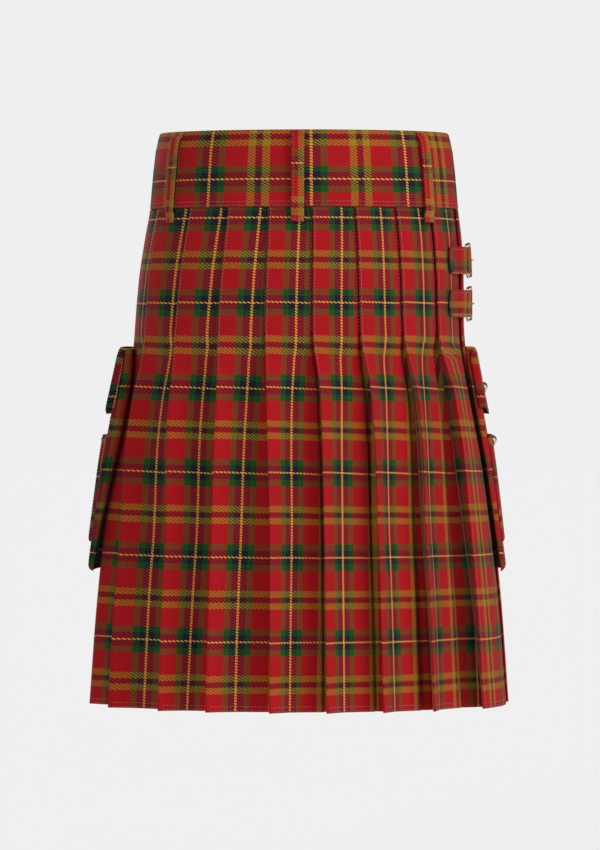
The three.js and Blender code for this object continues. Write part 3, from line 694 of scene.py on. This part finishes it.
def buildClosure(z, place, cloth, shine):
    c = closure
    bar = c["width"] / 2 - c["bar"] / 2
    strapPath, tabPath = closurePaths(z)
    tab = stripPiece(f"tab_{place}", z, c["tabWidth"], tabPath, cloth, c["tabThick"],
                     0.0, c["tabWarp"], c["tabWeft"], 46)
    strap = stripPiece(f"strap_{place}", z, c["strapWidth"], strapPath, cloth, c["strapThick"],
                       c["tipRound"], c["strapWarp"], c["strapWeft"][place], 120)
    seat = seatAt(z, c["buckleAt"], c["out"] + c["thick"] / 2)
    buckle = roundedFrame(f"buckle_{place}", c, shine)
    toBar, fromBar = Matrix.Translation((-bar, 0, 0)), Matrix.Translation((bar, 0, 0))
    tilt = toBar @ Matrix.Rotation(-c["tilt"], 4, "Y") @ fromBar
    lower = Matrix.Translation((0, 0, -c["thick"] / 2))
    raised = Matrix.Translation((0, 0, c["thick"] / 2))
    placeMesh(buckle, seat @ lower @ tilt @ raised)
    prong = prongRod(f"prong_{place}", c, shine)
    placeMesh(prong, seatAt(z, c["buckleAt"], c["out"]) @ tilt)
    return tab, strap, buckle, prong


def placeMesh(piece, seat):
    piece.data.transform(Matrix.Scale(0.001, 4) @ seat)
    return piece


# A buckle's frame: one round bar swept about a rectangle with rounded corners
def roundedFrame(name, c, shine):
    halfX, halfY = (c["width"] - c["bar"]) / 2, (c["height"] - c["bar"]) / 2
    corner = c["corner"] - c["bar"] / 2
    bm = bmesh.new()
    ring = bmesh.ops.create_circle(bm, segments=12, radius=1)["verts"]
    bmesh.ops.scale(bm, verts=ring, vec=(c["bar"] / 2, c["thick"] / 2, 1))
    bmesh.ops.rotate(bm, verts=ring, matrix=Matrix.Rotation(math.pi / 2, 3, "X"))
    bmesh.ops.translate(bm, verts=ring, vec=(halfX, -halfY + corner, 0))
    edges = bm.edges[:]
    sides = [(halfX - corner, halfY - corner, (0, 2 * (halfY - corner), 0)),
             (-halfX + corner, halfY - corner, (-2 * (halfX - corner), 0, 0)),
             (-halfX + corner, -halfY + corner, (0, -2 * (halfY - corner), 0)),
             (halfX - corner, -halfY + corner, (2 * (halfX - corner), 0, 0))]
    for x, y, run in sides:
        moved = bmesh.ops.extrude_edge_only(bm, edges=edges)["geom"]
        corners = [part for part in moved if isinstance(part, bmesh.types.BMVert)]
        bmesh.ops.translate(bm, verts=corners, vec=run)
        edges = [part for part in moved if isinstance(part, bmesh.types.BMEdge)]
        turned = bmesh.ops.spin(bm, geom=edges, cent=(x, y, 0), axis=(0, 0, 1), angle=math.pi / 2, steps=5)
        edges = [part for part in turned["geom_last"] if isinstance(part, bmesh.types.BMEdge)]
    bmesh.ops.remove_doubles(bm, verts=bm.verts, dist=0.01)
    bmesh.ops.recalc_face_normals(bm, faces=bm.faces)
    return finishMesh(name, bm, shine)


def prongRod(name, c, shine):
    bm = bmesh.new()
    reach = c["width"] / 2
    top = c["thick"] + 0.3 + c["prong"]
    stations = [(reach - 0.2, top - 0.3, 0.6), (reach - 0.8, top - 0.1, 0.9), (reach - 3.4, top + 0.2, 1),
                (reach - 6, top + 0.2, 1), (4.4, top + 0.1, 1), (3.9, top, 0.5)]
    edges = []
    for i, (x, z, size) in enumerate(stations):
        if i == 0:
            ring = bmesh.ops.create_circle(bm, segments=10, radius=c["prong"], cap_ends=True)["verts"]
            bmesh.ops.rotate(bm, verts=ring, matrix=Matrix.Rotation(math.pi / 2, 3, "Y"))
            edges = bm.edges[:]
        else:
            moved = bmesh.ops.extrude_edge_only(bm, edges=edges)["geom"]
            ring = [part for part in moved if isinstance(part, bmesh.types.BMVert)]
            edges = [part for part in moved if isinstance(part, bmesh.types.BMEdge)]
        middle = sum((vert.co for vert in ring), Vector()) / len(ring)
        for vert in ring:
            vert.co = (vert.co - middle).normalized() * c["prong"] * size + Vector((x, 0, z))
    bmesh.ops.holes_fill(bm, edges=edges)
    bmesh.ops.recalc_face_normals(bm, faces=bm.faces)
    return finishMesh(name, bm, shine)


# Bellows pocket on each hip
hips = {
    "width": 138.0, "flat": 0.5, "turn": -0.03, "corner": 3.0,
    "gusset": [(0.62, 0.17), (1, 0.36), (0.52, 0.56)],
    "left": {
        "side": 1, "backY": 27.0, "z": [-427, -425.5, -421, -380, -338, -288, -240, -191],
        "edge": [7.6, 7.6, 7.2, 4.7, 0.9, -2.8, -3.2, 0.9],
        "face": [7.9, 10.4, 12.6, 12, 11.5, 11.3, 11.6, 11.4],
        "flapOut": 18.6, "patchTop": 5.0, "patchBottom": 3.5, "ridge": 4.0,
        "bagU": -6.0, "flapU": 8.0, "patchU": 4.0,
    },
    "right": {
        "side": -1, "backY": 11.0, "z": [-427, -425.5, -421, -380, -338, -288, -240, -191],
        "edge": [2.8, 2.8, 2.4, 1.6, 1.1, 1.1, 1.1, 1.1], "face": [3.0, 5.2, 7, 6.4, 6.4, 6.6, 7, 7.2],
        "flapOut": 12.5, "patchTop": 4.6, "patchBottom": 2.6, "ridge": 0.8,
        "bagU": -32.0, "flapU": 24.0, "patchU": 24.0,
    },
    "flap": {"top": -188.0, "bottom": -253.0, "drop": 7.0, "overhang": 2.0, "lift": 1.6, "studZ": -231.0,
             "columns": 44, "rows": 26},
    "patch": {"top": -282.0, "bottom": -396.0, "inset": 17.0, "studZ": -288.5},
    "stud": {"radius": 6.2, "height": 4.4},
}


def hipX(z, y):
    halfWidth, halfDepth, shift, front = ringAt(z)
    power = 2 / (front if y < 0 else 1)
    return halfWidth * max(1 - abs(y / halfDepth) ** power, 0) ** (1 / power)


def faceX(pocket, z, y):
    turned = max(-y, 0) * hips["turn"]
    return lerp(hipX(z, y), ringAt(z)[0], hips["flat"]) - turned + readTable(pocket["z"], pocket["face"], z)


def pouchLine(pocket, z, first, last, low, high):
    spots = []
    corner = hips["corner"]
    for y, turn in ((first, 1), (last, -1)):
        inner, outer = low(z, y), high(z, y)
        ridge = min(pocket["ridge"], (outer - inner) * 0.4) * turn
        side = [(y, inner)]
        side += [(y + ridge * bulge, lerp(inner, outer, share)) for bulge, share in hips["gusset"]]
        side.append((y, max(outer - corner, inner + 0.6)))
        if outer - corner > inner + 0.6:
            for step in (0.5, 1.0):
                along, rise = turn * corner * (1 - math.cos(step)), corner * (1 - math.sin(step))
                side.append((y - along, outer - rise))
        else:
            side += [(y - turn, outer - 0.6), (y - 2 * turn, outer - 0.1)]
        spots.append(side)
    face = [(y, high(z, y)) for y in spread(first - corner, last + corner, 26)]
    return spots[0] + face + spots[1][::-1]


def buildPouch(name, pocket, heights, first, last, low, high, cloth, uShift, vShift):
    lines, patterns = [], []
    for z in heights:
        line = pouchLine(pocket, z, first, last, low, high)
        lengths = lineLengths(line)
        points = [(ringAt(z)[2] + pocket["side"] * x, y, z) for y, x in line]
        pattern = [(uShift - lengths[4] + length, vShift - z) for length in lengths]
        if pocket["side"] > 0:
            points, pattern = points[::-1], pattern[::-1]
        lines.append(points)
        patterns.append(pattern)
    return clothSheet(name, lines, patterns, cloth, 1.0)


def buildBag(name, pocket, cloth):
    edge = lambda z: readTable(pocket["z"], pocket["edge"], z)
    low = lambda z, y: hipX(z, y) + (edge(z) if y > 0 else max(edge(z), 1.2)) + 0.2
    high = lambda z, y: faceX(pocket, z, y) - 0.6
    heights = [-427, -426.6, -425.8, -424.5, -423, -421] + spread(-416, -191, 34)
    first = pocket["backY"]
    last = first - hips["width"]
    shifts = (pocket["bagU"], weave["skirtWeft"])
    return buildPouch(name, pocket, heights, first, last, low, high, cloth, *shifts)


def patchProud(pocket, z):
    patch = hips["patch"]
    share = (z - patch["bottom"]) / (patch["top"] - patch["bottom"])
    return lerp(pocket["patchBottom"], pocket["patchTop"], share)


def buildPatch(name, pocket, cloth):
    patch = hips["patch"]

    def high(z, y):
        rounded = 1 - min((z - patch["bottom"]) / 4, 1)
        return faceX(pocket, z, y) + patchProud(pocket, z) - 0.6 - rounded * rounded * 1.6

    low = lambda z, y: faceX(pocket, z, y) + 0.54
    heights = [patch["bottom"] + step for step in (0, 0.5, 1.3, 2.6, 4.5)]
    heights += spread(patch["bottom"] + 9, patch["top"], 20)
    first = pocket["backY"] - patch["inset"] * 0.3
    last = pocket["backY"] - hips["width"] + patch["inset"]
    shifts = (pocket["patchU"], weave["patchWeft"])
    return buildPouch(name, pocket, heights, first, last, low, high, cloth, *shifts)


def flapProfile(pocket, y):
    flap = hips["flap"]
    middle = pocket["backY"] - hips["width"] / 2
    nearMiddle = 1 - abs(y - middle) / (hips["width"] / 2 + flap["overhang"])
    bottom = flap["bottom"] - flap["drop"] * min(nearMiddle * 1.6, 1)
    low = (lerp(hipX(bottom, y), ringAt(bottom)[0], hips["flat"]) + pocket["flapOut"]
           - max(-y, 0) * hips["turn"] - 0.6)
    high = faceX(pocket, -200, y) + flap["lift"]
    top, edge = flap["top"], hipX(flap["top"], y) + 1
    spots = [(edge, top - 0.4), ((edge + high) / 2, top), (high - 1.4, top - 0.9), (high + 0.6, top - 4.4)]
    shares = (0.2, 0.36, 0.52, 0.7, 0.86, 1)
    return spots + [(lerp(high, low, share), lerp(top, bottom, share)) for share in shares]


def buildFlap(name, pocket, cloth):
    flap = hips["flap"]
    first = pocket["backY"] + flap["overhang"]
    last = pocket["backY"] - hips["width"] - flap["overhang"]
    places = spread(first, last, flap["columns"])
    columns = [smoothLine(flapProfile(pocket, y), flap["rows"]) for y in places]
    end = flap["columns"] - 1
    turnedIn = [(0, 1.0), (0, 0.55), (0, 0.12)]
    turnedIn += [(i, 0) for i in range(flap["columns"])]
    turnedIn += [(end, 0.12), (end, 0.55), (end, 1.0)]
    lines, patterns = [], []
    for j in range(flap["rows"] - 1, -1, -1):
        line, pattern = [], []
        for i, share in turnedIn:
            x, z = columns[i][j]
            y = places[i]
            folded = z < flap["top"] - 3
            inward = share * min(max(x - faceX(pocket, z, y) + 2.5, 0), 9) if folded else 0
            down = 0 if folded else share * 4.5
            side = -1 if i == 0 else 1
            line.append((ringAt(flap["top"])[2] + pocket["side"] * (x - inward), y, z - down))
            pattern.append((first - y + pocket["flapU"] + side * (inward + down), weave["flapWeft"] - z))
        if pocket["side"] > 0:
            line, pattern = line[::-1], pattern[::-1]
        lines.append(line)
        patterns.append(pattern)
    return clothSheet(name, lines, patterns, cloth, 1.1)


def buildStud(name, pocket, surface, z, y, shine):
    radius, height = hips["stud"]["radius"], hips["stud"]["height"]
    bm = bmesh.new()
    profile = [(0, 0), (radius - 0.6, 0), (radius - 0.1, 0.35), (radius, 0.9), (radius - 0.3, 1.5),
               (radius - 1.0, 1.8), (radius - 1.5, 1.7), (radius - 1.9, 2.3), (radius * 0.56, height - 0.9),
               (radius * 0.34, height - 0.3), (radius * 0.16, height - 0.06), (0, height)]
    verts = [bm.verts.new((across, 0, up)) for across, up in profile]
    edges = [bm.edges.new(pair) for pair in zip(verts, verts[1:])]
    bmesh.ops.spin(bm, geom=verts + edges, cent=(0, 0, 0), axis=(0, 0, 1),
                   angle=2 * math.pi, steps=32, use_merge=True)
    bmesh.ops.remove_doubles(bm, verts=bm.verts, dist=0.01)
    bmesh.ops.recalc_face_normals(bm, faces=bm.faces)
    stud = finishMesh(name, bm, shine)
    slope = lambda dz, dy: (surface(z + dz, y + dy) - surface(z - dz, y - dy)) / (2 * radius)
    outward = Vector((pocket["side"], -slope(0, radius), -slope(radius, 0))).normalized()
    seat = outward.to_track_quat("Z", "Y").to_matrix().to_4x4()
    seat.translation = Vector((ringAt(z)[2] + pocket["side"] * surface(z, y), y, z)) + outward * 0.45
    return placeMesh(stud, seat)


def buildPocket(side, cloth, shine):
    pocket = hips[side]
    middle = pocket["backY"] - hips["width"] / 2
    flapZ, patchZ = hips["flap"]["studZ"], hips["patch"]["studZ"]

    def flapSurface(z, y):
        above, below = flapProfile(pocket, y)[-4], flapProfile(pocket, y)[-1]
        return lerp(above[0], below[0], (z - above[1]) / (below[1] - above[1])) + 0.6
    patchSurface = lambda z, y: faceX(pocket, z, y) + pocket["patchTop"]
    return {
        f"pocket_bag_{side}": buildBag(f"bag_{side}", pocket, cloth),
        f"patch_pocket_{side}": buildPatch(f"patch_{side}", pocket, cloth),
        f"pocket_flap_{side}": buildFlap(f"flap_{side}", pocket, cloth),
        f"flap_stud_{side}": buildStud(f"flapStud_{side}", pocket, flapSurface, flapZ, middle, shine),
        f"patch_stud_{side}": buildStud(f"patchStud_{side}", pocket, patchSurface, patchZ, middle, shine),
    }


# Rows of thread: every stitch lies on a surface that is given by two numbers
stitches = {
    "long": 2.7, "gap": 0.9, "wide": 0.62, "high": 0.45, "foldIn": 1.8, "stepOut": 1.6,
    "hemRows": [-564.2, -568.6], "bandRows": [-35.4, -39.6], "fell": (-172, -42),
    "flapIn": 4, "flapZ": (-249, -196), "bagIn": 5, "bagZ": (-418, -262), "bagFoot": -417,
    "patchIn": 4, "patchTops": (3, 10), "loopZ": (-55.5, 37), "loopFeet": (-55, -49), "loopIn": 1.7,
    "strapIn": 2.4, "strapEnds": (1, 8),
}


def sewRow(bm, surface, path, across=1.0):
    points = [Vector(surface(*spot)) for spot in path]
    lengths = lineLengths(points)
    count = max(int(lengths[-1] / (stitches["long"] + stitches["gap"])), 1)
    for n in range(count):
        at = (n + 0.5) * lengths[-1] / count
        i = min(bisect.bisect_right(lengths, at), len(path) - 1) - 1
        share = (at - lengths[i]) / (lengths[i + 1] - lengths[i])
        a, b = (lerp(path[i][part], path[i + 1][part], share) for part in (0, 1))
        sideways = Vector(surface(a + across, b)) - Vector(surface(a - across, b))
        upward = Vector(surface(a, b + 2)) - Vector(surface(a, b - 2))
        outward = sideways.cross(upward).normalized()
        run = (points[i + 1] - points[i]).normalized()
        seat = Matrix((run, outward.cross(run), outward)).transposed().to_4x4()
        seat.translation = Vector(surface(a, b)) + outward * 0.12
        size = Matrix.Diagonal((stitches["long"] / 2, stitches["wide"] / 2, stitches["high"] / 2, 1))
        bmesh.ops.create_icosphere(bm, subdivisions=1, radius=1, matrix=Matrix.Scale(0.001, 4) @ seat @ size)


def panelSurface(k):
    def surface(along, z):
        angle, nextAngle = foldAngle(k, z), nextFoldAngle(k, z)
        width = math.dist(ringPoint(z, angle), ringPoint(z, nextAngle))
        degrees = angle + along * (nextAngle - angle) / width
        depth = panelDepth(k, z, min(max(along / width, 0), 1)) + garment["shell"] / 2
        return (*ringPoint(z, degrees, depth + creaseAt(degrees, z)), z)
    return surface


def panelWidth(k, z):
    return math.dist(ringPoint(z, foldAngle(k, z)), ringPoint(z, foldAngle(k + 1, z)))


def ringSurface(out, thick):
    def surface(degrees, z):
        return (*ringPoint(z, degrees, out + creaseAt(degrees, z) + wrapStep(degrees, thick)), z)
    return surface


def sewSkirt():
    bm = bmesh.new()
    heights = spread(-569, -42, 90)
    fell = spread(*stitches["fell"], 24)
    for k in range(lastPleat + 1):
        surface = panelSurface(k)
        sewRow(bm, surface, [(stitches["foldIn"], z) for z in heights])
        if k == lastPleat:
            continue
        sewRow(bm, surface, [(panelWidth(k, z) - stitches["stepOut"], z) for z in fell])
        for z in stitches["hemRows"]:
            sewRow(bm, surface, [(along, z) for along in spread(1, panelWidth(k, z) - 2, 14)])
    surface = ringSurface(-0.2, garment["cloth"])
    for z in stitches["hemRows"]:
        for ends in ((102, 157, 30), (-137, -103, 20)):
            sewRow(bm, surface, [(degrees, z) for degrees in spread(*ends)])
    return finishMesh("skirtStitching", bm, sewing)


def sewFront():
    bm = bmesh.new()
    surface = lambda degrees, z: (*ringPoint(z, degrees, -0.15 + creaseAt(degrees, z)), z)
    for z in stitches["hemRows"]:
        sewRow(bm, surface, [(degrees, z) for degrees in spread(apron["edge"] + 0.6, 221, 50)])
    for step in (0.7, 3.0):
        sewRow(bm, surface, [(apron["edge"] + step, z) for z in spread(-568, -43, 60)])
    return finishMesh("frontStitching", bm, sewing)


def sewBand():
    bm = bmesh.new()
    surface = ringSurface(0.25, band["thick"])
    for z in stitches["bandRows"]:
        sewRow(bm, surface, [(degrees, z) for degrees in spread(apron["edge"] - 359.5, 150, 180)])
    return finishMesh("bandStitching", bm, sewing)


# Stitching near the edges of one pocket's flap, patch and bag
def sewPocket(side):
    pocket, flap, patch = hips[side], hips["flap"], hips["patch"]
    bm = bmesh.new()
    first, last = pocket["backY"], pocket["backY"] - hips["width"]
    turn = pocket["side"]

    def onFlap(a, z):
        profile = flapProfile(pocket, a * turn)[:2:-1]
        x = readTable([spot[1] for spot in profile], [spot[0] for spot in profile], z)
        return (ringAt(flap["top"])[2] + turn * (x + 0.55), a * turn, z)

    def onBag(a, z):
        return (ringAt(z)[2] + turn * (faceX(pocket, z, a * turn) - 0.1), a * turn, z)

    def onPatch(a, z):
        return (ringAt(z)[2] + turn * (faceX(pocket, z, a * turn) + patchProud(pocket, z) - 0.1), a * turn, z)

    margin = stitches["flapIn"]
    near, far = first + flap["overhang"] - margin, last - flap["overhang"] + margin
    for y in (near, far):
        sewRow(bm, onFlap, [(y * turn, z) for z in spread(*stitches["flapZ"], 12)])
    sewRow(bm, onFlap, [(y * turn, flapProfile(pocket, y)[-1][1] + margin) for y in spread(near, far, 30)])
    near, far = first - stitches["bagIn"], last + stitches["bagIn"]
    for y in (near, far):
        sewRow(bm, onBag, [(y * turn, z) for z in spread(*stitches["bagZ"], 24)])
    sewRow(bm, onBag, [(y * turn, stitches["bagFoot"]) for y in spread(near, far, 24)])
    margin = stitches["patchIn"]
    near, far = first - patch["inset"] * 0.3 - margin, last + patch["inset"] + margin
    for z in (patch["top"] - drop for drop in stitches["patchTops"]):
        sewRow(bm, onPatch, [(y * turn, z) for y in spread(near, far, 24)])
    for y in (near, far):
        sewRow(bm, onPatch, [(y * turn, z) for z in spread(patch["bottom"] + 5, patch["top"] - 3, 16)])
    return finishMesh(f"pocketStitching_{side}", bm, sewing)


def sewStraps():
    bm = bmesh.new()
    for z0 in closure["z"]:
        degrees, outs = zip(*closurePaths(z0)[0])
        surface = lambda place, z: (*ringPoint(z, place, readTable(degrees, outs, place) + 0.75), z)
        half = closure["strapWidth"] / 2 - stitches["strapIn"]
        for side in (-1, 1):
            run = spread(closure["strapTip"] + 2, closure["strapEnd"] - 1, 120)
            sewRow(bm, surface, [(place, z0 + side * half) for place in run])
        sewRow(bm, surface, [(closure["strapTip"] + 1, z) for z in spread(z0 - half + 2, z0 + half - 2, 8)])
        for place in (closure["strapEnd"] - back for back in stitches["strapEnds"]):
            sewRow(bm, surface, [(place, z) for z in spread(z0 - half, z0 + half, 8)])
    return finishMesh("strapStitching", bm, sewing)


def sewLoops():
    bm = bmesh.new()
    for i, degrees in enumerate(loops["places"]):
        heights, outs = zip(*loopProfile(i))

        def surface(across, z):
            return tuple(seatAt(z, degrees) @ Vector((across, 0, readTable(heights, outs, z) + 0.75)))

        reach = loops["width"] / 2 - stitches["loopIn"]
        for side in (-1, 1):
            sewRow(bm, surface, [(side * reach, z) for z in spread(*stitches["loopZ"], 50)])
        for z in stitches["loopFeet"]:
            sewRow(bm, surface, [(across, z) for across in spread(-4.6, 4.6, 5)])
    return finishMesh("loopStitching", bm, sewing)


def show(piece, node, slot):
    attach(piece, "root")
    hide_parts(node)


print("form tables ready")
setCamera()
sewing = threadFinish()
tartanFinish = tartanCloth("tartanWeave")
strapFinish = tartanCloth("strapWeave", shade=0.92)
silver = polishedMetal("silverMetal", metal["silver"])
pale = polishedMetal("paleGoldMetal", metal["pale"])
buildStudio()
pleatedBack, frontPanels = buildSkirt(tartanFinish)
waistBand = buildBand(tartanFinish)
print("skirt and waistband laid")
for piece, node in ((pleatedBack, "pleated_back"), (frontPanels[0], "over_apron"),
                    (frontPanels[1], "under_apron"), (waistBand, "waistband")):
    show(piece, node, "tartan_cloth")
for i, degrees in enumerate(loops["places"]):
    loop = buildLoop(i, degrees, tartanFinish)
    show(loop, f"belt_loop_{i + 1}", "tartan_cloth")
for place, z in zip(("upper", "lower"), closure["z"]):
    tab, strap, buckle, prong = buildClosure(z, place, strapFinish, pale)
    show(tab, f"tab_{place}", "strap_cloth")
    show(strap, f"strap_{place}", "strap_cloth")
    show(buckle, f"buckle_{place}", "buckle_metal")
    show(prong, f"prong_{place}", "buckle_metal")
print("loops and side straps laid")
for side in ("left", "right"):
    pieces = buildPocket(side, tartanFinish, silver)
    for node, piece in pieces.items():
        show(piece, node, "stud_metal" if "stud" in node else "tartan_cloth")
print("pockets laid")
sewn = [sewSkirt(), sewFront(), sewBand(), sewLoops(), sewStraps(), sewPocket("left"), sewPocket("right")]
for piece in sewn:
    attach(piece, "root")
print("stitching sewn")
